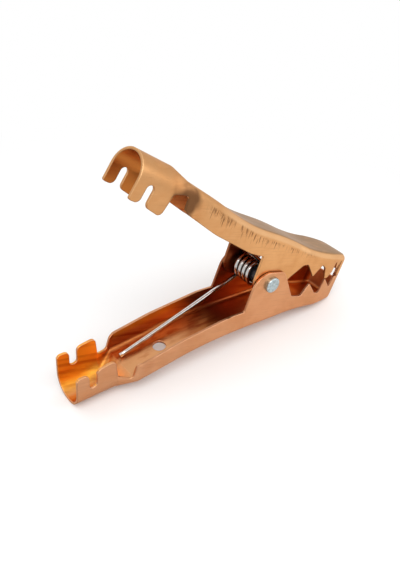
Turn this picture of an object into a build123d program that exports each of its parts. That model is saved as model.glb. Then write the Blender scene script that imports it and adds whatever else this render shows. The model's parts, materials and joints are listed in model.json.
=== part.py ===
from build123d import *
import os
from math import asin, atan2, cos, degrees, hypot, pi, radians, sin, tan

# Battery booster clamp: two pressed sheet-steel halves on one rivet, held shut by a torsion spring.
# Lengths are in millimetres. The halves are drawn in the closing frame: the pivot is the origin,
# X runs along the closing line to the nose, Y along the rivet to the far side, and the lower half
# hangs below the line. The finished clamp is then tipped so that it rests on its lower half.

os.makedirs("parts", exist_ok=True)

# Sheet and widths over the outside of the lower half
SHEET = 1.0
PLATE_WIDTH = 23.6
BARREL_WIDTH = 16.8
BARREL_LENGTH = 17.6
BARREL_SLOPE = 16.5
NOSE_WIDTH = 18.0

# Clearances
PLATE_GAP = 0.3
BITE_GAP = 0.4
SHANK_CLEARANCE = 0.05
SLEEVE_CLEARANCE = 0.05
SPRING_CLEARANCE = 0.15
LEG_CLEARANCE = 0.3
RIVET_FIT = 0.02

# Stations along the closing line
BARREL_FRONT_X = -67.5
HANDLE_REAR_X = -61.5
HANDLE_X = -51.0
HOLE_X = -43.7
GRIP_X = -39.0
WAIST_X = -20.0
EAR_X = -2.0
JAW_REAR_X = 13.0
JAW_FULL_X = 20.0
JAW_X = 34.0
TAPER_X = 42.0
CROWN_X = 51.0
NOSE_X = 59.3

# Depth of the spine below the closing line at those stations
BARREL_FRONT_DEPTH = 48.4
HANDLE_REAR_DEPTH = 42.2
HANDLE_DEPTH = 38.1
GRIP_DEPTH = 33.1
WAIST_DEPTH = 27.0
EAR_DEPTH = 22.9
JAW_REAR_DEPTH = 19.9
JAW_FULL_DEPTH = 18.4
JAW_DEPTH = 16.6
TAPER_DEPTH = 16.2
CROWN_DEPTH = 15.6
NOSE_DEPTH = 14.4

# How much shallower the upper half is at its barrel and nose, and fuller at its grip
UPPER_BARREL_DROP = 1.8
UPPER_JAW_DROP = 4.4
UPPER_GRIP_RISE = 0.7

# Bends of the sheet, over the outside
SPINE_BEND = 3.0
BARREL_BEND = 8.3
JOGGLE_BEND = 8.0
TAPER_BEND = 30.0
NOSE_BEND = 4.8
NOSE_CROWN = 1.2

# Height of the free edge above the spine, from the crimp end to the ears
TAB_REAR_WALL = 17.2
TAB_FRONT_WALL = 18.7
TAB_NOTCH_WALL = 9.8
NECK_WALL = 9.4
NECK_FRONT_WALL = 2.6
LIP_WALL = 9.6
GRIP_WALL = 11.2
WAIST_WALL = 11.6
EAR_CORNER_WALL = 11.3

# Crimp tabs, measured along the barrel
TAB_REAR_LENGTH = 5.3
TAB_NOTCH_WIDTH = 3.5
TAB_SLANT = 1.2
TAB_ROUND = 2.2
NOTCH_ROUND = 1.7
NECK_ROUND = 1.6
LIP_ROUND = 2.4
EDGE_SWEEP = 60.0

# Ears
EAR_REAR = 11.1
EAR_TOP = 6.1
EAR_ROUND = 8.4
EAR_FRONT = 6.6
EAR_CORNER_ROUND = 0.8

# Jaw teeth
MOUTH_X = 12.0
BITE_DEPTH = 8.7
BITE_REAR_X = 19.2
LOWER_BITE_FRONT_X = 26.6
UPPER_BITE_FRONT_X = 22.4
REAR_TOOTH_X = 29.8
REAR_TOOTH_GAP = 2.0
FRONT_BITE_DEPTH = 8.1
LOWER_FRONT_BITE_X = 37.4
UPPER_FRONT_BITE_X = 34.4
FRONT_BITE_FLOOR = 3.2
FRONT_TOOTH_X = 41.4
NOSE_NOTCH_X = 50.0
NOSE_NOTCH_DEPTH = 6.4
UPPER_NOTCH_DEPTH = 8.4
NOSE_LAND_X = 51.8
NOSE_SLOT_WIDTH = 11.0
NOSE_SLOT_DEPTH = 3.2
BITE_ROUND = 2.2
TOOTH_ROUND = 0.35

# Floor hole, rivet, sleeve and spring
HOLE_DIAMETER = 5.8
SHANK_DIAMETER = 4.0
HEAD_DIAMETER = 7.5
HEAD_HEIGHT = 1.5
HEAD_ROUND = 0.6
SLEEVE_DIAMETER = 7.6
WIRE_DIAMETER = 2.0
COIL_DIAMETER = 12.4
COIL_TURNS = 5
TURN_GAP = 0.08
LEG_REACH = 60.5
LEG_LEAN = 4.0

# Resting pose, and blocks that are larger than the clamp
REST_TILT = 15.2
TALL = 14.0
DEEP = 70.0


def spine(barrel_drop, grip_rise, jaw_drop):
    """Stations of the spine from the barrel's front to the nose, as place and depth."""
    stations = [
        (BARREL_FRONT_X, BARREL_FRONT_DEPTH - barrel_drop),
        (HANDLE_REAR_X, HANDLE_REAR_DEPTH - barrel_drop / 3 + grip_rise),
        (HANDLE_X, HANDLE_DEPTH + grip_rise),
        (GRIP_X, GRIP_DEPTH + grip_rise),
        (WAIST_X, WAIST_DEPTH),
        (EAR_X, EAR_DEPTH),
        (JAW_REAR_X, JAW_REAR_DEPTH),
        (JAW_FULL_X, JAW_FULL_DEPTH),
        (JAW_X, JAW_DEPTH),
        (TAPER_X, TAPER_DEPTH),
        (CROWN_X, CROWN_DEPTH),
        (NOSE_X, NOSE_DEPTH),
    ]
    return [(x, depth - jaw_drop * max(x - EAR_X, 0) / (NOSE_X - EAR_X)) for x, depth in stations]


def spine_depth(x):
    """Depth of the handle's spine at any place, straight between the stations."""
    places = spine(0, 0, 0)
    rear, front = places[-2], places[-1]
    for i in range(len(places) - 1):
        if x < places[i + 1][0]:
            rear, front = places[i], places[i + 1]
            break
    return rear[1] + (front[1] - rear[1]) * (x - rear[0]) / (front[0] - rear[0])


def side_view(bends, inset):
    """Side view of the handle and jaw, from the spine's curve up past the free edges."""
    places = spine(*bends)
    curve = []
    for i in range(1, len(places)):
        before, after = places[i - 1], places[min(i + 1, len(places) - 1)]
        lean = cos(atan2(before[1] - after[1], after[0] - before[0]))
        curve.append((places[i][0], inset / lean - places[i][1]))
    end = (NOSE_X + SHEET, 2 * curve[-1][1] - curve[-2][1])
    path = Spline(*curve)
    out = Line(curve[-1], end)
    rise = Polyline(end, (end[0], TALL), (HANDLE_REAR_X, TALL), curve[0])
    return Plane.XZ * make_face(path + out + rise)


def plan_view(joggle, inset):
    """Plan of the handle and jaw: straight plates, a joggle out to the jaw and a rounded nose."""
    plate = PLATE_WIDTH / 2 - joggle - inset
    jaw = PLATE_WIDTH / 2 - inset
    corner = NOSE_WIDTH / 2 - inset
    end = NOSE_X - inset
    side = [(HANDLE_REAR_X, plate, 0)]
    if joggle:
        side += [(JAW_REAR_X, plate, JOGGLE_BEND + inset), (JAW_FULL_X, jaw, JOGGLE_BEND - inset)]
    side += [(TAPER_X, jaw, TAPER_BEND - inset), (end - NOSE_CROWN, corner, NOSE_BEND - inset)]
    near = [(x, -y, r) for x, y, r in side]
    corners = near + [(end, 0, TAPER_BEND - inset)] + side[::-1]
    points = [(x, y) for x, y, _ in corners]
    path = FilletPolyline(*points, radius=[r for _, _, r in corners[1:-1]])
    return make_face(path + Line(points[-1], points[0]))


def handle_form(joggle, bends, inset):
    """Handle and jaw in one, with the bend that runs along the spine and round the nose."""
    side = extrude(side_view(bends, inset), DEEP, both=True)
    body = side & extrude(plan_view(joggle, inset), DEEP, both=True)
    floor = body.faces().sort_by(Axis.Z)[0]
    folds = [edge for edge in floor.edges() if edge.center().X > HANDLE_REAR_X + SHEET]
    return fillet(folds, SPINE_BEND - inset)


def barrel_point(along, above):
    """Point of the side view, measured back along the barrel's spine and square to it."""
    rise, run = sin(radians(BARREL_SLOPE)), cos(radians(BARREL_SLOPE))
    return BARREL_FRONT_X - along * run - above * rise, above * run - along * rise - BARREL_FRONT_DEPTH


def barrel_form(barrel_drop, inset):
    """Round-bottomed trough for the cable, straight along its own slope."""
    rise, run = sin(radians(BARREL_SLOPE)), cos(radians(BARREL_SLOPE))
    front = (BARREL_FRONT_X, 0, barrel_drop - BARREL_FRONT_DEPTH)
    across = Plane(origin=front, x_dir=(0, 1, 0), z_dir=(run, 0, rise))
    tall = TAB_FRONT_WALL + 2 * SHEET - inset
    block = Pos(0, inset) * Rectangle(BARREL_WIDTH - 2 * inset, tall, align=(Align.CENTER, Align.MIN))
    outline = fillet(block.vertices().sort_by(Axis.Y)[:2], BARREL_BEND - inset)
    return extrude(across * outline, -BARREL_LENGTH - inset)


def trough(joggle, bends, inset):
    """Outer form of a half, or its hollow when inset by the sheet."""
    handle = handle_form(joggle, bends, inset)
    barrel = barrel_form(bends[0], inset)
    ends = [barrel.faces().sort_by(Axis.X)[-1], handle.faces().sort_by(Axis.X)[0]]
    neck = loft([end.clean() for end in ends], ruled=True)
    return barrel.fuse(neck, handle)


def edge_depth(x, wall):
    """Depth of a free edge that stands a given height above the spine."""
    return wall - spine_depth(x)


def tab_corners():
    """The two crimp tabs with the notch between them, and the neck."""
    notch_rear = BARREL_LENGTH - TAB_REAR_LENGTH
    notch_front = notch_rear - TAB_NOTCH_WIDTH
    tabs = [
        (BARREL_LENGTH + 2 * SHEET, -DEEP / 2, 0),
        (BARREL_LENGTH + 2 * SHEET, TAB_REAR_WALL - TAB_SLANT, 0),
        (BARREL_LENGTH, TAB_REAR_WALL - TAB_SLANT, TAB_ROUND / 2),
        (BARREL_LENGTH - SHEET, TAB_REAR_WALL, TAB_ROUND / 2),
        (notch_rear, TAB_REAR_WALL, TAB_ROUND),
        (notch_rear, TAB_NOTCH_WALL, NOTCH_ROUND),
        (notch_front, TAB_NOTCH_WALL, NOTCH_ROUND),
        (notch_front, TAB_FRONT_WALL - TAB_SLANT, TAB_ROUND),
        (SHEET / 2, TAB_FRONT_WALL, TAB_ROUND),
        (-SHEET / 2, NECK_WALL, NECK_ROUND),
    ]
    lip = HANDLE_REAR_X - TAB_ROUND
    neck = [
        (lip, edge_depth(HANDLE_REAR_X, NECK_FRONT_WALL), NECK_ROUND),
        (lip, edge_depth(HANDLE_REAR_X, LIP_WALL) - SHEET / 2, LIP_ROUND),
    ]
    return [(*barrel_point(along, above), r) for along, above, r in tabs] + neck


def flange_corners():
    """Free edge of the handle up to the ear's rear corner, and the ear round the rivet."""
    grip = (HANDLE_X + GRIP_X) / 2
    return [
        (grip, edge_depth(grip, GRIP_WALL), EDGE_SWEEP),
        (WAIST_X, edge_depth(WAIST_X, WAIST_WALL), EDGE_SWEEP),
        (-EAR_REAR, edge_depth(-EAR_REAR, EAR_CORNER_WALL), EAR_CORNER_ROUND),
        (-EAR_REAR + TOOTH_ROUND, EAR_TOP, EAR_ROUND),
        (EAR_FRONT, EAR_TOP - TOOTH_ROUND, EAR_ROUND / 2),
        (MOUTH_X, -BITE_GAP / 2, EAR_CORNER_ROUND),
    ]


def lower_teeth():
    """Bites of the lower jaw, deepest towards the nose, and its nose notch."""
    meet = -BITE_GAP / 2
    return [
        (BITE_REAR_X, SHEET / 2 - BITE_DEPTH, BITE_ROUND),
        (LOWER_BITE_FRONT_X, -BITE_DEPTH, BITE_ROUND),
        (REAR_TOOTH_X, -REAR_TOOTH_GAP, TOOTH_ROUND),
        (LOWER_FRONT_BITE_X, -FRONT_BITE_DEPTH, BITE_ROUND),
        (LOWER_FRONT_BITE_X + FRONT_BITE_FLOOR, -FRONT_BITE_DEPTH, BITE_ROUND / 2),
        (FRONT_TOOTH_X, meet, TOOTH_ROUND),
        (NOSE_NOTCH_X, -NOSE_NOTCH_DEPTH, 2 * TOOTH_ROUND),
        (NOSE_LAND_X, meet, 2 * TOOTH_ROUND),
    ]


def upper_teeth():
    """Bites of the upper jaw, deepest towards the pivot, and its forked nose notch."""
    meet = -BITE_GAP / 2
    fork = (FRONT_TOOTH_X + NOSE_NOTCH_X) / 2
    return [
        (BITE_REAR_X, -BITE_DEPTH, BITE_ROUND),
        (UPPER_BITE_FRONT_X, -BITE_DEPTH, BITE_ROUND),
        (REAR_TOOTH_X, -REAR_TOOTH_GAP, TOOTH_ROUND),
        (UPPER_FRONT_BITE_X, -FRONT_BITE_DEPTH, BITE_ROUND / 2),
        (UPPER_FRONT_BITE_X + FRONT_BITE_FLOOR, TOOTH_ROUND - NOSE_NOTCH_DEPTH, BITE_ROUND / 2),
        (FRONT_TOOTH_X - SHEET, meet, TOOTH_ROUND),
        (FRONT_TOOTH_X + SHEET, meet, TOOTH_ROUND),
        (fork, -NOSE_NOTCH_DEPTH / 2, 0),
        (fork + SHEET / 2, -UPPER_NOTCH_DEPTH, 0),
        (fork + 3 * SHEET / 2, -UPPER_NOTCH_DEPTH, 0),
        (NOSE_NOTCH_X - SHEET, -UPPER_NOTCH_DEPTH / 2, TOOTH_ROUND),
        (NOSE_LAND_X, -UPPER_NOTCH_DEPTH, 0),
        (NOSE_LAND_X + SHEET, -UPPER_NOTCH_DEPTH, 0),
        (NOSE_LAND_X + SHEET, meet, TOOTH_ROUND),
    ]


def plate_edge(teeth):
    """Side view of what is kept: below the tabs, flanges, ears and teeth."""
    past_nose = NOSE_X + 2 * SHEET
    corners = tab_corners() + flange_corners() + teeth
    corners += [(past_nose, -BITE_GAP / 2, 0), (past_nose, -DEEP, 0)]
    points = [(x, z) for x, z, _ in corners]
    path = FilletPolyline(*points, radius=[r for _, _, r in corners[1:-1]])
    face = make_face(path + Line(points[-1], points[0]))
    return extrude(Plane.XZ * face, DEEP, both=True)


def floor_hole():
    """Cutter for the hole, square to the handle's floor."""
    lean = degrees(atan2(HANDLE_DEPTH - GRIP_DEPTH, GRIP_X - HANDLE_X))
    return Pos(HOLE_X, 0, -spine_depth(HOLE_X)) * Rot(0, -lean, 0) * Cylinder(HOLE_DIAMETER / 2, 8 * SHEET)


def half(joggle, bends, rivet_bore, teeth):
    """One pressed half, drawn as the lower one."""
    shell = (trough(joggle, bends, 0) - trough(joggle, bends, SHEET)) & plate_edge(teeth)
    slot = Pos(NOSE_X, 0, 0) * Box(2 * NOSE_BEND, NOSE_SLOT_WIDTH, 2 * NOSE_SLOT_DEPTH)
    bore = Rot(90, 0, 0) * Cylinder(rivet_bore / 2, 2 * PLATE_WIDTH)
    return shell - slot - floor_hole() - bore


def rivet():
    """Shank through all four ears with a low head on each side."""
    shank = Rot(90, 0, 0) * Cylinder(SHANK_DIAMETER / 2, PLATE_WIDTH + HEAD_HEIGHT)
    head = Cylinder(HEAD_DIAMETER / 2, HEAD_HEIGHT, align=(Align.CENTER, Align.CENTER, Align.MIN))
    head = fillet(head.edges().group_by(Axis.Z)[-1], HEAD_ROUND)
    near = Pos(0, -PLATE_WIDTH / 2, 0) * Rot(90, 0, 0) * head
    far = Pos(0, PLATE_WIDTH / 2, 0) * Rot(-90, 0, 0) * head
    return shank + near + far


def inner_width():
    """Room between the inner plates of the upper half's ears."""
    return PLATE_WIDTH - 4 * SHEET - 2 * PLATE_GAP


def sleeve():
    """Spacer round the shank that keeps the ears apart and carries the coil."""
    length = inner_width() - 2 * SPRING_CLEARANCE
    bore = SHANK_DIAMETER / 2 + SLEEVE_CLEARANCE
    return Rot(90, 0, 0) * (Cylinder(SLEEVE_DIAMETER / 2, length) - Cylinder(bore, length))


def rod(start, end):
    """Straight wire between two points."""
    path = Line(start, end)
    return extrude(Plane(origin=start, z_dir=end - start) * Circle(WIRE_DIAMETER / 2), path.length)


def leg_slope(mean):
    """Flattest slope at which a leg clears the floor of its handle at every station that it passes."""
    places = [place for place in spine(0, 0, 0) if -LEG_REACH < place[0] < WAIST_X]
    slopes = []
    for x, depth in places + [(-LEG_REACH, spine_depth(-LEG_REACH))]:
        room = depth - 1.1 * SHEET - WIRE_DIAMETER / 2 - LEG_CLEARANCE
        slopes.append(atan2(room, -x) - asin(mean / hypot(room, x)))
    return min(slopes)


def torsion_spring():
    """Close-wound coil round the sleeve with a straight leg pressing on each handle floor."""
    mean = (COIL_DIAMETER - WIRE_DIAMETER) / 2
    pitch = WIRE_DIAMETER + TURN_GAP
    slope = leg_slope(mean)
    leave = pi / 2 - slope
    turns = COIL_TURNS + leave / pi
    far = inner_width() / 2 - WIRE_DIAMETER / 2 - SPRING_CLEARANCE
    near = far - turns * pitch
    coil_path = Rot(0, 0, -degrees(leave)) * Helix(pitch, turns * pitch, mean)
    wire = Plane(origin=coil_path @ 0, z_dir=coil_path % 0) * Circle(WIRE_DIAMETER / 2)
    spring = Pos(0, near, 0) * Rot(-90, 0, 0) * sweep(wire, path=coil_path, is_frenet=True)
    for y, side in ((near, 1), (far, -1)):
        root = Vector(mean * cos(leave), y, side * mean * sin(leave))
        rise = (root.X + LEG_REACH) * tan(slope)
        tip = Vector(-LEG_REACH, y - LEG_LEAN * (y > 0), root.Z + side * rise)
        joint = Pos(root.X, root.Y, root.Z) * Sphere(WIRE_DIAMETER / 2 + TURN_GAP / 4)
        spring = spring + joint + rod(root, tip)
    return spring


def clamp():
    """Every piece in the closing frame, by name."""
    upper_bore = SHANK_DIAMETER + 2 * SHANK_CLEARANCE
    upper_bends = (UPPER_BARREL_DROP, UPPER_GRIP_RISE, UPPER_JAW_DROP)
    upper = half(SHEET + PLATE_GAP, upper_bends, upper_bore, upper_teeth())
    lower = half(0, (0, 0, 0), SHANK_DIAMETER + 2 * RIVET_FIT, lower_teeth())
    # The lower pressing is kept as two nodes that meet at the waist, so that each gets simple collision
    waist = Plane(origin=(WAIST_X, 0, 0), z_dir=(1, 0, 0))
    return {
        "lower_half": split(lower, bisect_by=waist, keep=Keep.BOTTOM),
        "lower_jaw": split(lower, bisect_by=waist, keep=Keep.TOP),
        "upper_half": mirror(upper, about=Plane.XY),
        "torsion_spring": torsion_spring(),
        "pivot_rivet": rivet(),
        "spacer_sleeve": sleeve(),
    }


def stand(pieces):
    """Tip the clamp onto its lower half, with the origin under the middle of its box."""
    tipped = {name: Rot(0, REST_TILT, 0) * piece for name, piece in pieces.items()}
    boxes = [piece.bounding_box() for piece in tipped.values()]
    left = min(box.min.X for box in boxes)
    right = max(box.max.X for box in boxes)
    floor = min(box.min.Z for box in boxes)
    shift = Pos(-(left + right) / 2, 0, -floor)
    print("pivot in the resting frame:", -(left + right) / 2, 0, -floor)
    print("length over all:", right - left)
    return {name: shift * piece for name, piece in tipped.items()}


for name, piece in stand(clamp()).items():
    export_step(piece, f"parts/{name}.step")
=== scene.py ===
import json
from math import cos, pi, radians, sin, tan

import bpy
from mathutils import Matrix, Vector


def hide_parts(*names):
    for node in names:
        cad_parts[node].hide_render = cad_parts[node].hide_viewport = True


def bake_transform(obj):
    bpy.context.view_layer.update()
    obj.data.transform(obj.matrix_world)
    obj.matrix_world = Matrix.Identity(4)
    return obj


bl_info = {
    "name": "Battery booster clamp",
    "version": (1, 0, 0),
    "blender": (4, 5, 0),
    "location": "3D View > Sidebar > Clamp",
    "description": "Finishes, spring and studio for a sprung battery clamp",
    "category": "Object",
}

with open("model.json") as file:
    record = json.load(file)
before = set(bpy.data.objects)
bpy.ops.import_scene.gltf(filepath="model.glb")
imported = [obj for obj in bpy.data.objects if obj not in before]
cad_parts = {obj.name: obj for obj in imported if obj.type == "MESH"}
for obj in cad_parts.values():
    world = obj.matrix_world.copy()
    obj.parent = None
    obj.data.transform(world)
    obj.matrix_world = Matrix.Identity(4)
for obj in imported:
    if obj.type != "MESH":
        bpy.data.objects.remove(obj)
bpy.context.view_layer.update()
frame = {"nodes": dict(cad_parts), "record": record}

# The closing frame starts at the pivot. X runs along the closing line to the nose, Y along the rivet to
# the far side, and Z up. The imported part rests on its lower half, which tips this frame about Y.
PIVOT = Vector(frame["record"]["behaviour"]["joints"][0]["pos_m"])
REST_TILT = radians(15.2)
MM = 0.001

# Bands along the closing frame's X, in millimetres. A finish grows from nothing at the first number to its
# full strength at the second, and a pair of bands lets it grow and end.
DARKER_TOWARD_HANDLE_END = (10, -75)
BETWEEN_EARS = ((-15, -11), (12, 4))
INSIDE_JAWS = (12, 20)
UPPER_CRIMP = (-50, -70)
LOWER_CRIMP = (-60, -75)
GLOWING_WALL = ((-20, -34), (-64, -60))
LIT_TROUGH_FLOOR = (-20, -42)
GOLD_REFLECTION_BITE = ((25, 31), (46, 40))
LOWER_THROAT = ((-71, -66), (-54, -60))
NECK = ((-73, -69), (-54, -58))
EAR_REAR = (-26, -20)
BACK_REFLECTION_X = (-44, -20)
BEND_HIGHLIGHT_X = (-50, -35)
MARKED_SIDE = ((-55, -51), (30, 18))
LONG_MARKS = (18, -40)

# Bands along its Y; the first is of the distance from the middle
HOLLOW_WIDTH = (10.9, 10.5)
LIT_TROUGH_FLOOR_NEAR = (6, -1)
THROAT_NEAR = (5, -1)
GOLD_REFLECTION_FAR = (-2, 4)
FAR_EAR = (6, 8)
NEAR_WALL = (-6, -8)
NEAR_PLATE = (-9, -10)

# Bands of height, and of distance from the lines and points below
EAR_HEIGHT = (-22, -16)
GLOW_UNDER_EDGE = (5.5, 1.5)
CUT_EDGE = (6.5, 8.5)
MARKS_BEGIN = (2.4, 3.6)
MARKS_END = (-0.5, 1.2)
NECK_SHADOW = (7.6, 3.4)
CLEAR_OF_SEAM = (0.6, 1.2)

# Strength of the tool marks at full wear
MARK_STRENGTH = 0.85

# Lines seen from the side, as rise per millimetre of X and height at the pivot: the free edge of the lower
# handle, and the three stretches of the upper half's back
FREE_EDGE = (0.374, -7.9)
BACK_LINES = ((-0.381, 19.4), (-0.248, 22.0), (-0.191, 21.3))
# X and Z of the middle of the shadow at the upper half's neck
SHADOW_MIDDLE = (-64.4, 37.3)
# X where the lower half's two nodes meet, and where no rounded edge is drawn
SEAM_X = -20.0

# Bands of the cosine between a surface and a direction. Outward is up on the upper half and down on the
# lower half, so a face that looks inward has a cosine below 0.
LOOKING_IN = (-0.2, -0.6)
FLAT_FLOOR = (-0.4, -0.9)
UNDERSIDE = (-0.3, -0.7)
BEND = ((0.08, 0.35), (0.95, 0.75))
FLAT_BACK = (0.8, 0.97)
LOOKING_BACK = (0.2, 0.5)
LIT_RIM = (-0.15, 0.35)
# The same between a surface and its rounded edge
ROUNDED_OFF = (0.998, 0.9)

# Bands of the noises, which run from 0 to 1
BLOTCHES = (0.35, 0.7)
CLOUDS = (0.5, 0.72)
DRAWN_GRAIN = (0.5, 0.75)
STREAKS = (0.38, 0.66)
CRIMP_STREAKS = (0.4, 0.7)
FLOOR_STREAKS = (0.7, 0.4)
BACK_REFLECTION_CLOUDS = (0.2, 0.55)
RAGGED_MARKS = (0.3, 0.7)
STROKES = (0.46, 0.56)
CLUSTERS = (0.36, 0.5)
WIRE_GRAIN = (0.4, 0.7)
ZINC_DAPPLE = (0.38, 0.66)
SLEEVE_DUST = (0.45, 0.75)

# Shares of a colour's red, green and blue in its variants; many of them are painted light and shade
SHARES = {
    "shaded handle end": (0.84, 0.86, 0.9),
    "blotched": (0.82, 0.72, 0.62),
    "clouded": (1.1, 1.16, 1.25),
    "edge highlight": (1.5, 1.7, 2.1),
    "lit trough floor": (1.04, 1.08, 1.0),
    "throat": (1.0, 1.02, 0.9),
    "streaked": (0.66, 0.42, 0.3),
    "sheltered": (0.72, 0.5, 0.55),
    "jaws less shaded": (1.3, 1.3, 1.1),
    "shaded upper crimp": (0.75, 0.72, 0.5),
    "shaded rear rim": (0.34, 0.2, 0.2),
    "crimp streak": (0.7, 0.55, 0.5),
    "glow": (0.72, 0.62, 0.6),
    "gold_reflection": (0.95, 1.1, 3.0),
    "dull wire": (0.72, 0.72, 0.72),
    "coil in painted shade": (0.6, 0.6, 0.6),
    "dull zinc": (0.6, 0.6, 0.6),
}
# Colour that plated metal takes where it is seen nearly edge-on
EDGE_TINT = (0.82, 0.70, 0.60)
RUBBED_ZINC = (0.85, 0.9, 0.9)
DUST = (0.05, 0.048, 0.05)

# Rounding drawn along the pressed edges, what the neck adds to it, and the rivet head's
EDGE_ROUND = 0.55 * MM
NECK_EDGE_ROUND = 1.0 * MM
RIVET_EDGE_ROUND = 0.3 * MM
BEVEL_SAMPLES = 4

# Places of the mix node's sockets for each kind of value: the two inputs and the output
MIX_SOCKETS = {"RGBA": (6, 7, 2), "VECTOR": (4, 5, 1)}

# Camera in the closing frame, in metres, with its focal length in pixels and its sensor in millimetres
CAMERA_PLACE = (-0.2079, -0.1546, 0.0990)
CAMERA_FORWARD = (0.687, 0.604, -0.405)
CAMERA_RIGHT = (0.724, -0.620, 0.303)
FOCAL_PIXELS = 602
IMAGE_HEIGHT = 570
SENSOR_HEIGHT = 36

# Studio, in metres. The floor shows the clamp's shadow up to the first distance and is white from the second.
FLOOR_SIZE = 6.0
FLOOR_COLOUR = (0.93, 0.93, 0.93, 1)
SHADOW_REACH = (0.10, 0.26)
SKY_STRENGTH = 0.9
WHITE = (1, 1, 1, 1)
LAMP_AIM = Vector((0, 0, 0.03))


def tilted(along, across, above):
    """A direction given in the closing frame, in the frame's own axes."""
    x = along * cos(REST_TILT) + above * sin(REST_TILT)
    z = -along * sin(REST_TILT) + above * cos(REST_TILT)
    return Vector((x, across, z))


def resting(along, across, above):
    """A point given in the closing frame, in metres from the pivot, in the frame's own axes."""
    return PIVOT + tilted(along, across, above)


class ClampFinish(bpy.types.PropertyGroup):
    """Colours of the clamp, several of them painted light and shade, its wear, and the sizes of its spring.
    """

    upper_colour: bpy.props.FloatVectorProperty(
        name="Upper copper", description="Base colour of the upper half's plating",
        default=(0.71, 0.365, 0.15), subtype="COLOR", min=0, max=1)
    lower_colour: bpy.props.FloatVectorProperty(
        name="Lower copper", description="Base colour of the lower half's plating",
        default=(0.67, 0.325, 0.16), subtype="COLOR", min=0, max=1)
    # Painted reflection: grey on the flat back of the jaw
    back_reflection_colour: bpy.props.FloatVectorProperty(
        name="Worn plating", description="Greyish colour where the plating is thin on the jaw's back",
        default=(0.30, 0.195, 0.115), subtype="COLOR", min=0, max=1)
    # Painted highlight: pale copper along the bend over the jaw
    bend_highlight_colour: bpy.props.FloatVectorProperty(
        name="Rubbed bend", description="Pale copper along the bend over the jaw, rubbed bright",
        default=(0.88, 0.55, 0.29), subtype="COLOR", min=0, max=1)
    # Painted shade: deep copper standing in for the shade on the inner faces
    hollow_shade_colour: bpy.props.FloatVectorProperty(
        name="Hollow", description="Deep copper on the inner faces of the handles and jaws",
        default=(0.60, 0.205, 0.06), subtype="COLOR", min=0, max=1)
    # Painted light: bright copper glow inside the lower crimp, under the free edges and in the far bite
    painted_glow_colour: bpy.props.FloatVectorProperty(
        name="Crimp", description="Bright copper in the lower crimp and the glowing parts of the hollow",
        default=(1.0, 0.46, 0.05), subtype="COLOR", min=0, max=1)
    # Real tarnish in the grain and tool marks, and painted shade at the neck, under the cut edges and on
    # edges that look down
    stain_and_shade_colour: bpy.props.FloatVectorProperty(
        name="Stain", description="Dark tarnish in the tool marks, at the neck and under the edges",
        default=(0.16, 0.07, 0.03), subtype="COLOR", min=0, max=1)
    spring_colour: bpy.props.FloatVectorProperty(
        name="Spring", description="Base colour of the bright spring wire",
        default=(0.78, 0.77, 0.75), subtype="COLOR", min=0, max=1)
    zinc_colour: bpy.props.FloatVectorProperty(
        name="Rivet", description="Base colour of the zinc-plated rivet",
        default=(0.50, 0.60, 0.63), subtype="COLOR", min=0, max=1)
    sleeve_colour: bpy.props.FloatVectorProperty(
        name="Sleeve", description="Base colour of the blackened sleeve",
        default=(0.012, 0.012, 0.015), subtype="COLOR", min=0, max=1)
    wire_diameter: bpy.props.FloatProperty(
        name="Spring wire", description="Diameter of the spring's wire",
        default=0.002, unit="LENGTH", min=0.0005)
    coil_diameter: bpy.props.FloatProperty(
        name="Spring coil", description="Diameter over the coil",
        default=0.0124, unit="LENGTH", min=0.004)
    wear: bpy.props.FloatProperty(
        name="Wear", description="Strength of the tool marks under the bend",
        default=1.0, subtype="FACTOR", min=0, max=1)


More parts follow.
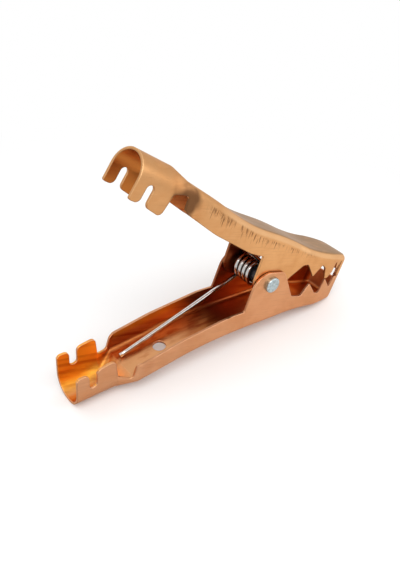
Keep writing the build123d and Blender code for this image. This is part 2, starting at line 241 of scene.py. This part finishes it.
class Weave:
    """One material, with short calls that add and join its nodes."""

    def __init__(self, name, metallic, roughness):
        self.material = bpy.data.materials.new(name)
        self.material.use_nodes = True
        self.tree = self.material.node_tree
        self.shader = self.tree.nodes["Principled BSDF"]
        self.shader.inputs["Metallic"].default_value = metallic
        self.shader.inputs["Roughness"].default_value = roughness
        if metallic:
            self.shader.inputs["Specular Tint"].default_value = (*EDGE_TINT, 1)

    def put(self, target, value):
        """Join a socket, or set it where the value is a plain number or colour."""
        if isinstance(value, bpy.types.NodeSocket):
            self.tree.links.new(value, target)
        elif hasattr(value, "__len__") and len(target.default_value) > len(value):
            target.default_value = (*value, 1)
        else:
            target.default_value = value

    def sum(self, operation, *values):
        """A math node's result."""
        node = self.tree.nodes.new("ShaderNodeMath")
        node.operation = operation
        for target, value in zip(node.inputs, values):
            self.put(target, value)
        return node.outputs[0]

    def scaled(self, value, gain, base):
        """A value times a gain, on top of a base."""
        return self.sum("MULTIPLY_ADD", value, gain, base)

    def both(self, *masks):
        """Product of several masks."""
        result = masks[0]
        for mask in masks[1:]:
            result = self.sum("MULTIPLY", result, mask)
        return result

    def apart(self, mask):
        """Where a mask is not."""
        return self.sum("SUBTRACT", 1.0, mask)

    def step(self, value, low, high):
        """Smooth step from 0 at low to 1 at high; low may be above high."""
        node = self.tree.nodes.new("ShaderNodeMapRange")
        node.interpolation_type = "SMOOTHSTEP"
        for name, setting in (("From Min", min(low, high)), ("From Max", max(low, high))):
            node.inputs[name].default_value = setting
        node.inputs["To Min"].default_value = float(low > high)
        node.inputs["To Max"].default_value = float(low <= high)
        self.put(node.inputs["Value"], value)
        return node.outputs["Result"]

    def span(self, value, grows, ends):
        """Mask that grows over one band of a value and ends over another."""
        return self.both(self.step(value, *grows), self.step(value, *ends))

    def place(self):
        """Closing-frame place of the point in millimetres, as a vector."""
        source = self.tree.nodes.new("ShaderNodeTexCoord").outputs["Object"]
        turn = self.tree.nodes.new("ShaderNodeMapping")
        turn.vector_type = "TEXTURE"
        turn.inputs["Location"].default_value = PIVOT
        turn.inputs["Rotation"].default_value = (0, REST_TILT, 0)
        turn.inputs["Scale"].default_value = (MM, MM, MM)
        self.put(turn.inputs["Vector"], source)
        return turn.outputs[0]

    def parts(self, vector):
        """The x, y and z of a vector."""
        split = self.tree.nodes.new("ShaderNodeSeparateXYZ")
        self.put(split.inputs[0], vector)
        return tuple(split.outputs)

    def noise(self, vector, scale, detail=2.0, rough=0.5, axes=None):
        """Noise from 0 to 1. A small share in axes draws it out along that axis."""
        if axes is not None:
            stretch = self.tree.nodes.new("ShaderNodeMapping")
            stretch.inputs["Scale"].default_value = axes
            self.put(stretch.inputs["Vector"], vector)
            vector = stretch.outputs[0]
        node = self.tree.nodes.new("ShaderNodeTexNoise")
        node.inputs["Scale"].default_value = scale
        node.inputs["Detail"].default_value = detail
        node.inputs["Roughness"].default_value = rough
        self.put(node.inputs["Vector"], vector)
        return node.outputs["Fac"]

    def mix(self, kind, amount, first, second):
        """Mix of two values of one kind, colours or vectors."""
        node = self.tree.nodes.new("ShaderNodeMix")
        node.data_type = kind
        one, other, result = MIX_SOCKETS[kind]
        self.put(node.inputs["Factor"], amount)
        self.put(node.inputs[one], first)
        self.put(node.inputs[other], second)
        return node.outputs[result]

    def over(self, under, layer, mask, strength=None):
        """A colour laid over another where a mask says, at a share of its strength."""
        if strength is not None:
            mask = self.sum("MULTIPLY", mask, strength)
        return self.mix("RGBA", mask, under, layer)

    def cosine(self, first, second):
        """Dot product of two directions."""
        node = self.tree.nodes.new("ShaderNodeVectorMath")
        node.operation = "DOT_PRODUCT"
        self.put(node.inputs[0], first)
        self.put(node.inputs[1], second)
        return node.outputs["Value"]

    def facing(self, direction, normal=None):
        """How far the surface faces a direction of the closing frame, from -1 to 1."""
        if normal is None:
            normal = self.tree.nodes.new("ShaderNodeTexCoord").outputs["Normal"]
        return self.cosine(normal, tilted(*direction))

    def true_normal(self):
        """The surface's own normal."""
        return self.tree.nodes.new("ShaderNodeNewGeometry").outputs["Normal"]

    def rounded(self, radius):
        """Normal of edges rounded by eye, and a mask of where they are."""
        bevel = self.tree.nodes.new("ShaderNodeBevel")
        bevel.samples = BEVEL_SAMPLES
        self.put(bevel.inputs["Radius"], radius)
        turned = self.cosine(bevel.outputs[0], self.true_normal())
        return bevel.outputs[0], self.step(turned, *ROUNDED_OFF)

    def bump(self, height, distance, normal=None):
        """Surface relief of a height socket."""
        node = self.tree.nodes.new("ShaderNodeBump")
        node.inputs["Strength"].default_value = 1.0
        node.inputs["Distance"].default_value = distance
        self.put(node.inputs["Height"], height)
        if normal is not None:
            self.put(node.inputs["Normal"], normal)
        self.put(self.shader.inputs["Normal"], node.outputs[0])

    def finish(self, tone, roughness):
        """Send a colour and a roughness to the shader."""
        self.put(self.shader.inputs["Base Color"], tone)
        self.put(self.shader.inputs["Roughness"], roughness)


def dress(node, material):
    """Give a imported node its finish."""
    piece = frame["nodes"][node]
    piece.data.materials.clear()
    piece.data.materials.append(material)


def shaded(colour, variant):
    """A colour's variant, no brighter than white."""
    return [min(part * share, 1) for part, share in zip(colour, SHARES[variant])]


def inner_faces(weave, y, outward):
    """Mask of the faces that look into the hollow of a half."""
    sideways = weave.sum("MULTIPLY", weave.facing((0, 1, 0)), weave.sum("SIGN", y))
    walls = weave.step(sideways, *LOOKING_IN)
    narrow = weave.step(weave.sum("ABSOLUTE", y), *HOLLOW_WIDTH)
    floor = weave.both(weave.step(outward, *LOOKING_IN), narrow)
    return weave.sum("MAXIMUM", walls, floor)


def outer_tone(weave, place, x, cloud, drawn, colour, stain):
    """Plating of the outer faces, darker toward the handle's end as painted shade, with blotches, pale clouds
    and fine drawn grain.
    """
    blotch = weave.noise(place, scale=0.07, detail=3.0, rough=0.6)
    # Painted shade: the plating darkens toward the handle's end
    tone = weave.over(colour, shaded(colour, "shaded handle end"), weave.step(x, *DARKER_TOWARD_HANDLE_END))
    tone = weave.over(tone, shaded(colour, "blotched"), weave.step(blotch, *BLOTCHES), strength=0.6)
    tone = weave.over(tone, shaded(colour, "clouded"), weave.step(cloud, *CLOUDS), strength=0.3)
    return weave.over(tone, stain, weave.step(drawn, *DRAWN_GRAIN), strength=0.14)


def painted_hollow_shade(weave, x, flow, deep):
    """Painted shade of the inner faces: deep copper, streaked along the clamp, darker between the ears and
    lighter in the jaws.
    """
    tone = weave.over(deep, shaded(deep, "streaked"), weave.step(flow, *STREAKS))
    # Painted shade: the hollow is darker between the ears
    tone = weave.over(tone, shaded(deep, "sheltered"), weave.span(x, *BETWEEN_EARS), strength=0.85)
    # Painted light: the hollow's painted shade is lifted inside the open jaws
    return weave.over(tone, shaded(deep, "jaws less shaded"), weave.step(x, *INSIDE_JAWS), strength=0.6)


def lower_hollow(weave, tone, point, outward, flow, colour, crimp):
    """Painted light in the lower hollow: a bright glow in the crimp and under the free edges, a lit trough
    floor, a gold reflection in the far bite and a lit throat.
    """
    x, y, z = point
    # Painted light: bright glow inside the lower crimp, streaked
    bright = weave.over(crimp, shaded(crimp, "crimp streak"), weave.step(flow, *CRIMP_STREAKS))
    tone = weave.over(tone, bright, weave.step(x, *LOWER_CRIMP))
    # Painted light: a glow along the wall under the free edge
    under_edge = weave.sum("SUBTRACT", weave.scaled(x, *FREE_EDGE), z)
    glow = weave.both(weave.step(under_edge, *GLOW_UNDER_EDGE), weave.span(x, *GLOWING_WALL))
    tone = weave.over(tone, shaded(crimp, "glow"), glow, strength=0.8)
    # Painted light: the trough floor that looks up is paler
    floor = weave.both(weave.step(outward, *FLAT_FLOOR), weave.step(y, *LIT_TROUGH_FLOOR_NEAR))
    floor = weave.both(floor, weave.step(x, *LIT_TROUGH_FLOOR))
    streaky = weave.scaled(weave.step(flow, *FLOOR_STREAKS), gain=0.35, base=0.6)
    tone = weave.over(tone, shaded(colour, "lit trough floor"), floor, strength=streaky)
    # Painted reflection: a gold patch in the far bite
    gold_reflection = weave.both(weave.span(x, *GOLD_REFLECTION_BITE), weave.step(y, *GOLD_REFLECTION_FAR))
    tone = weave.over(tone, shaded(crimp, "gold_reflection"), gold_reflection, strength=0.9)
    # Painted light: the throat's inner faces are lifted back toward the outer copper
    throat = weave.both(weave.span(x, *LOWER_THROAT), weave.step(y, *THROAT_NEAR))
    return weave.over(tone, shaded(colour, "throat"), throat, strength=0.75)


def tool_marks(weave, x, y, below, place):
    """Short dark tool marks in clusters under the bend of the near side."""
    ragged = weave.noise(place, scale=0.75, rough=0.7, axes=(1.0, 0.0, 0.0))
    strokes = weave.noise(place, scale=1.35, detail=3.0, rough=0.8, axes=(1.0, 0.0, 0.07))
    clusters = weave.noise(place, scale=0.16, detail=1.0, axes=(1.0, 0.0, 0.0))
    longest = weave.scaled(weave.step(x, *LONG_MARKS), gain=3.2, base=4.4)
    reach = weave.scaled(weave.step(ragged, *RAGGED_MARKS), gain=longest, base=1.8)
    left = weave.sum("SUBTRACT", reach, below)
    band = weave.both(weave.step(below, *MARKS_BEGIN), weave.step(left, *MARKS_END))
    marks = weave.both(weave.step(strokes, *STROKES), weave.step(clusters, *CLUSTERS))
    side = weave.both(weave.span(x, *MARKED_SIDE), weave.step(y, *NEAR_PLATE))
    return weave.both(band, marks, side, MARK_STRENGTH)


def neck_shadow(weave, x, y, z, place):
    """Painted shade: a round uneven dark patch at the neck's near side."""
    ahead, above = (weave.sum("SUBTRACT", value, middle) for value, middle in zip((x, z), SHADOW_MIDDLE))
    squares = weave.sum("ADD", weave.both(above, above), weave.both(ahead, ahead))
    uneven = weave.scaled(weave.noise(place, scale=0.22, detail=1.0, rough=0.4), gain=6.0, base=-3.0)
    distance = weave.sum("ADD", weave.sum("SQRT", squares), uneven)
    return weave.both(weave.step(distance, *NECK_SHADOW), weave.step(y, *NEAR_WALL))


def upper_light_and_wear(weave, tone, point, place, outward, cloud, finish):
    """Painted highlight on the bend, painted grey reflection on the flat back, painted shade under the cut
    edges and at the neck, and the tool marks of the upper half.
    """
    x, y, z = point
    handle, waist, jaw = (weave.scaled(x, *line) for line in BACK_LINES)
    crest = weave.sum("MAXIMUM", weave.sum("MAXIMUM", handle, waist), jaw)
    below = weave.sum("SUBTRACT", crest, z)
    # Painted highlight along the rounded bend
    bend = weave.both(weave.span(outward, *BEND), weave.step(x, *BEND_HIGHLIGHT_X))
    tone = weave.over(tone, finish.bend_highlight_colour, bend, strength=0.5)
    # Painted reflection: the flat back that looks up is greyer, in clouds
    back = weave.both(weave.step(outward, *FLAT_BACK), weave.step(x, *BACK_REFLECTION_X))
    thin = weave.scaled(weave.step(cloud, *BACK_REFLECTION_CLOUDS), gain=0.35, base=0.55)
    tone = weave.over(tone, finish.back_reflection_colour, back, strength=thin)
    # Painted shade under the cut edges that look down
    cut = weave.both(weave.step(outward, *UNDERSIDE), weave.step(below, *CUT_EDGE))
    tone = weave.over(tone, finish.stain_and_shade_colour, cut, strength=0.7)
    # Painted shade at the neck
    tone = weave.over(tone, finish.stain_and_shade_colour, neck_shadow(weave, x, y, z, place), strength=0.92)
    return weave.over(tone, finish.stain_and_shade_colour, tool_marks(weave, x, y, below, place), strength=finish.wear)


def edge_light_and_shade(weave, tone, point, edges, bevelled, colour, finish):
    """Painted highlights on edges that look up and painted shade on those that look down, and painted shade
    on the rear rim of the far ears.
    """
    x, y, z = point
    # Painted highlight on edges that look up, painted shade on those that look down
    lit = weave.step(weave.facing((0, 0, 1), bevelled), *LIT_RIM)
    rim = weave.over(finish.stain_and_shade_colour, shaded(colour, "edge highlight"), lit)
    tone = weave.over(tone, rim, edges, strength=0.75)
    # Painted shade on the rear rim of the far ears
    far_ear = weave.both(weave.step(y, *FAR_EAR), weave.step(z, *EAR_HEIGHT), weave.step(x, *EAR_REAR))
    rear_rim = weave.both(weave.step(weave.facing((-1, 0, 0)), *LOOKING_BACK), far_ear)
    return weave.over(tone, shaded(finish.hollow_shade_colour, "shaded rear rim"), rear_rim, strength=0.8)


def copper(name, colour, finish, side):
    """Worn satin copper plating with painted light and shade; side is 1 for the upper half and -1 for the
    lower.
    """
    weave = Weave(name, metallic=1.0, roughness=0.3)
    place = weave.place()
    point = weave.parts(place)
    x, y, _ = point
    outward = weave.facing((0, 0, side))
    cloud = weave.noise(place, scale=0.32, detail=3.0, rough=0.55, axes=(0.35, 1.0, 1.0))
    drawn = weave.noise(place, scale=2.6, detail=3.0, rough=0.6, axes=(0.03, 1.0, 1.0))
    flow = weave.noise(place, scale=0.45, axes=(0.025, 1.0, 1.0))
    speck = weave.noise(place, scale=3.2, rough=0.6)

    tone = outer_tone(weave, place, x, cloud, drawn, colour, finish.stain_and_shade_colour)
    deep = painted_hollow_shade(weave, x, flow, finish.hollow_shade_colour)
    if side > 0:
        tone = upper_light_and_wear(weave, tone, point, place, outward, cloud, finish)
        # Painted shade: the hollow is deeper inside the upper barrel
        deep = weave.over(deep, shaded(finish.hollow_shade_colour, "shaded upper crimp"), weave.step(x, *UPPER_CRIMP))
    else:
        deep = lower_hollow(weave, deep, point, outward, flow, colour, finish.painted_glow_colour)
    hollow = inner_faces(weave, y, outward)
    # Painted shade laid on the faces that look into the hollow
    tone = weave.over(tone, deep, hollow)

    off_seam = weave.step(weave.sum("ABSOLUTE", weave.sum("SUBTRACT", x, SEAM_X)), *CLEAR_OF_SEAM)
    neck = weave.both(weave.span(x, *NECK), weave.apart(hollow))
    bevelled, edges = weave.rounded(weave.scaled(neck, gain=NECK_EDGE_ROUND, base=EDGE_ROUND))
    edges = weave.both(edges, off_seam, weave.apart(neck))
    tone = edge_light_and_shade(weave, tone, point, edges, bevelled, colour, finish)

    satin = weave.scaled(drawn, gain=0.16, base=0.2)
    satin = weave.scaled(neck, gain=0.15, base=satin)
    weave.finish(tone, weave.scaled(cloud, gain=0.12, base=satin))
    relief = weave.scaled(drawn, gain=0.5, base=weave.both(speck, 0.4))
    normal = weave.mix("VECTOR", off_seam, weave.true_normal(), bevelled)
    weave.bump(relief, distance=0.02 * MM, normal=normal)
    return weave.material


class CLAMP_OT_halves(bpy.types.Operator):
    """Finish the two pressed halves in worn copper plating with painted light and shade"""

    bl_idname = "clamp.halves"
    bl_label = "Finish the halves"

    def execute(self, context):
        finish = context.scene.clamp_finish
        dress("upper_half", copper("copper_upper", tuple(finish.upper_colour), finish, 1))
        lower = copper("copper_lower", tuple(finish.lower_colour), finish, -1)
        dress("lower_half", lower)
        dress("lower_jaw", lower)
        return {"FINISHED"}


def tube(name, path, radius, sides=16):
    """A closed round wire that follows a list of points."""
    verts, faces = [], []
    ahead = (path[1] - path[0]).normalized()
    out = ahead.orthogonal().normalized()
    for index, point in enumerate(path):
        before, after = path[max(index - 1, 0)], path[min(index + 1, len(path) - 1)]
        ahead = (after - before).normalized()
        out = (out - ahead * out.dot(ahead)).normalized()
        over = ahead.cross(out)
        for side in range(sides):
            turn = 2 * pi * side / sides
            verts.append(point + radius * (cos(turn) * out + sin(turn) * over))
    for ring in range(len(path) - 1):
        for side in range(sides):
            first, second = ring * sides + side, ring * sides + (side + 1) % sides
            faces.append((first, second, second + sides, first + sides))
    faces.append(tuple(range(sides))[::-1])
    faces.append(tuple((len(path) - 1) * sides + side for side in range(sides)))
    mesh = bpy.data.meshes.new(name)
    mesh.from_pydata(verts, [], faces)
    mesh.polygons.foreach_set("use_smooth", [len(face) == 4 for face in faces])
    mesh.validate()
    piece = bpy.data.objects.new(name, mesh)
    bpy.context.scene.collection.objects.link(piece)
    return piece


class CLAMP_OT_spring(bpy.types.Operator):
    """Wind the torsion spring as one wire"""

    bl_idname = "clamp.spring"
    bl_label = "Wind the spring"

    COIL_FAR = 8.35 * MM
    COIL_NEAR = -2.75 * MM
    WHOLE_TURNS = 4
    STEPS_A_TURN = 40
    LEG_SLOPE = radians(28.95)
    LEG_REACH = 60.5 * MM
    LEG_LEAN = 4.0 * MM
    LEG_STEPS = 24
    # X band, in millimetres, over which painted shade darkens the wire from the legs to the coil
    DARK_COIL = (-10, -6)

    def execute(self, context):
        finish = context.scene.clamp_finish
        spring = tube("torsion_wire", self.path(finish), finish.wire_diameter / 2)
        spring.data.materials.append(self.bright_wire(tuple(finish.spring_colour)))
        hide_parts("torsion_spring")
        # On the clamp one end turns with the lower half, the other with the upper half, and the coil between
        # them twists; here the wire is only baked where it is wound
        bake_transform(spring)
        return {"FINISHED"}

    def path(self, finish):
        """Points along the wire, from the upper leg's tip round the coil to the lower leg's tip."""
        mean = (finish.coil_diameter - finish.wire_diameter) / 2
        leave = pi / 2 - self.LEG_SLOPE
        swing = 2 * pi * self.WHOLE_TURNS + 2 * leave
        steps = self.STEPS_A_TURN * self.WHOLE_TURNS
        coil = []
        for index in range(steps + 1):
            share = index / steps
            turn = share * swing - leave
            across = self.COIL_NEAR + share * (self.COIL_FAR - self.COIL_NEAR)
            coil.append(resting(mean * cos(turn), across, -mean * sin(turn)))
        run = mean * cos(leave) + self.LEG_REACH
        height = mean * sin(leave) + run * tan(self.LEG_SLOPE)
        upper_tip = resting(-self.LEG_REACH, self.COIL_NEAR, height)
        lower_tip = resting(-self.LEG_REACH, self.COIL_FAR - self.LEG_LEAN, -height)
        upper = [upper_tip.lerp(coil[0], index / self.LEG_STEPS) for index in range(self.LEG_STEPS)]
        lower = [coil[-1].lerp(lower_tip, (index + 1) / self.LEG_STEPS) for index in range(self.LEG_STEPS)]
        return upper + coil + lower

    def bright_wire(self, bright):
        """Bright drawn wire, darkened on the coil by painted shade."""
        weave = Weave("spring_steel", metallic=1.0, roughness=0.16)
        place = weave.place()
        x, _, _ = weave.parts(place)
        grain = weave.noise(place, scale=1.1, detail=3.0, rough=0.6)
        tone = weave.over(bright, shaded(bright, "dull wire"), weave.step(grain, *WIRE_GRAIN))
        # Painted shade on the coil
        coil = weave.step(x, *self.DARK_COIL)
        tone = weave.over(tone, shaded(bright, "coil in painted shade"), coil, strength=0.8)
        weave.finish(tone, weave.scaled(grain, gain=0.08, base=0.05))
        weave.bump(weave.noise(place, scale=6.0, rough=0.6), distance=0.003 * MM)
        return weave.material


class CLAMP_OT_small_parts(bpy.types.Operator):
    """Finish the rivet and the sleeve"""

    bl_idname = "clamp.small_parts"
    bl_label = "Finish the rivet and sleeve"

    def execute(self, context):
        finish = context.scene.clamp_finish
        dress("pivot_rivet", self.zinc(tuple(finish.zinc_colour)))
        dress("spacer_sleeve", self.blackened(tuple(finish.sleeve_colour)))
        return {"FINISHED"}

    def zinc(self, pale):
        """Dappled zinc plating with rubbed edges."""
        weave = Weave("zinc", metallic=1.0, roughness=0.3)
        place = weave.place()
        dapple = weave.noise(place, scale=0.75, detail=3.0, rough=0.6)
        grain = weave.noise(place, scale=4.0, rough=0.6)
        bevelled, edges = weave.rounded(RIVET_EDGE_ROUND)
        tone = weave.over(pale, shaded(pale, "dull zinc"), weave.step(dapple, *ZINC_DAPPLE))
        tone = weave.over(tone, RUBBED_ZINC, edges, strength=0.3)
        weave.finish(tone, weave.scaled(dapple, gain=0.3, base=0.2))
        weave.bump(weave.scaled(dapple, gain=3.0, base=grain), distance=0.03 * MM, normal=bevelled)
        return weave.material

    def blackened(self, dark):
        """Blackened steel with a little dust and fine scratches along the tube."""
        weave = Weave("dark_sleeve", metallic=0.0, roughness=0.35)
        place = weave.place()
        dust = weave.noise(place, scale=0.8, detail=3.0, rough=0.6)
        scratch = weave.noise(place, scale=3.0, rough=0.6, axes=(1.0, 0.05, 1.0))
        tone = weave.over(dark, DUST, weave.step(dust, *SLEEVE_DUST))
        weave.finish(tone, weave.scaled(scratch, gain=0.3, base=0.18))
        weave.bump(scratch, distance=0.02 * MM)
        return weave.material


def lamp(name, place, size, power):
    """A soft square lamp that looks at the clamp."""
    data = bpy.data.lights.new(name, "AREA")
    data.shape = "RECTANGLE"
    data.size, data.size_y = size, size
    data.energy = power
    light = bpy.data.objects.new(name, data)
    light.location = place
    light.rotation_euler = (LAMP_AIM - Vector(place)).to_track_quat("-Z", "Y").to_euler()
    bpy.context.scene.collection.objects.link(light)


class CLAMP_OT_studio(bpy.types.Operator):
    """Lay the pale floor, hang the soft lights and set the camera"""

    bl_idname = "clamp.studio"
    bl_label = "Build the studio"

    def execute(self, context):
        scene = context.scene
        bpy.ops.mesh.primitive_plane_add(size=FLOOR_SIZE, location=(0, 0, 0))
        floor = context.object
        floor.name = "studio_floor"
        floor.data.materials.append(self.pale_floor())
        self.sky(scene)
        lamp("key", place=(-0.35, -0.30, 0.65), size=0.5, power=2.2)
        lamp("fill", place=(0.45, -0.45, 0.40), size=0.4, power=0.8)
        self.camera(scene)
        scene.view_settings.view_transform = "Standard"
        return {"FINISHED"}

    def camera(self, scene):
        """Camera at the photograph's viewing angle."""
        camera = bpy.data.objects.new("camera", bpy.data.cameras.new("camera"))
        scene.collection.objects.link(camera)
        look = tilted(*CAMERA_FORWARD).normalized()
        right = tilted(*CAMERA_RIGHT).normalized()
        up = right.cross(look)
        right = look.cross(up)
        axes = Matrix((right, up, -look)).transposed()
        camera.matrix_world = Matrix.Translation(resting(*CAMERA_PLACE)) @ axes.to_4x4()
        camera.data.sensor_fit = "VERTICAL"
        camera.data.sensor_height = SENSOR_HEIGHT
        camera.data.lens = FOCAL_PIXELS * SENSOR_HEIGHT / IMAGE_HEIGHT
        camera.data.clip_start = 0.01
        scene.camera = camera

    def seen(self, tree):
        """Mask of the rays of the camera, reflections and clear materials."""
        rays = tree.nodes.new("ShaderNodeLightPath")
        seen = rays.outputs["Is Camera Ray"]
        for name in ("Is Glossy Ray", "Is Transmission Ray"):
            either = tree.nodes.new("ShaderNodeMath")
            either.operation = "MAXIMUM"
            tree.links.new(seen, either.inputs[0])
            tree.links.new(rays.outputs[name], either.inputs[1])
            seen = either.outputs[0]
        return seen

    def choose(self, tree, amount, first, second, target):
        """Send a mix of two shaders to an output."""
        choice = tree.nodes.new("ShaderNodeMixShader")
        for socket, source in zip(choice.inputs, (amount, first, second)):
            tree.links.new(source, socket)
        tree.links.new(choice.outputs[0], target)

    def pale_floor(self):
        """Pale matt floor that keeps the shadow near the clamp and turns white away from it."""
        pale = Weave("pale_floor", metallic=0.0, roughness=0.9)
        pale.shader.inputs["Base Color"].default_value = FLOOR_COLOUR
        tree = pale.tree
        place = tree.nodes.new("ShaderNodeTexCoord").outputs["Object"]
        distance = tree.nodes.new("ShaderNodeVectorMath")
        distance.operation = "LENGTH"
        tree.links.new(place, distance.inputs[0])
        white = tree.nodes.new("ShaderNodeEmission")
        white.inputs["Color"].default_value = WHITE
        white.inputs["Strength"].default_value = 1.0
        away = pale.step(distance.outputs["Value"], *SHADOW_REACH)
        amount = pale.both(away, self.seen(tree))
        target = tree.nodes["Material Output"].inputs["Surface"]
        self.choose(tree, amount, pale.shader.outputs[0], white.outputs[0], target)
        return pale.material

    def sky(self, scene):
        """White where the camera or a reflection sees it, and a plain soft light elsewhere."""
        world = bpy.data.worlds.new("studio_world")
        scene.world = world
        world.use_nodes = True
        tree = world.node_tree
        soft = tree.nodes["Background"]
        soft.inputs["Color"].default_value = WHITE
        soft.inputs["Strength"].default_value = SKY_STRENGTH
        white = tree.nodes.new("ShaderNodeBackground")
        white.inputs["Color"].default_value = WHITE
        white.inputs["Strength"].default_value = 1.0
        target = tree.nodes["World Output"].inputs["Surface"]
        self.choose(tree, self.seen(tree), soft.outputs[0], white.outputs[0], target)


class CLAMP_PT_panel(bpy.types.Panel):
    """Clamp tools"""

    bl_idname = "CLAMP_PT_panel"
    bl_label = "Battery clamp"
    bl_space_type = "VIEW_3D"
    bl_region_type = "UI"
    bl_category = "Clamp"

    def draw(self, context):
        for name in ClampFinish.__annotations__:
            self.layout.prop(context.scene.clamp_finish, name)
        for operator in ("clamp.halves", "clamp.spring", "clamp.small_parts", "clamp.studio"):
            self.layout.operator(operator)


CLASSES = (
    ClampFinish,
    CLAMP_OT_halves,
    CLAMP_OT_spring,
    CLAMP_OT_small_parts,
    CLAMP_OT_studio,
    CLAMP_PT_panel,
)


def register():
    for item in CLASSES:
        bpy.utils.register_class(item)
    bpy.types.Scene.clamp_finish = bpy.props.PointerProperty(type=ClampFinish)


def unregister():
    del bpy.types.Scene.clamp_finish
    for item in reversed(CLASSES):
        bpy.utils.unregister_class(item)


def main():
    register()
    bpy.ops.clamp.halves()
    bpy.ops.clamp.spring()
    bpy.ops.clamp.small_parts()
    bpy.ops.clamp.studio()


if __name__ == "__main__":
    main()
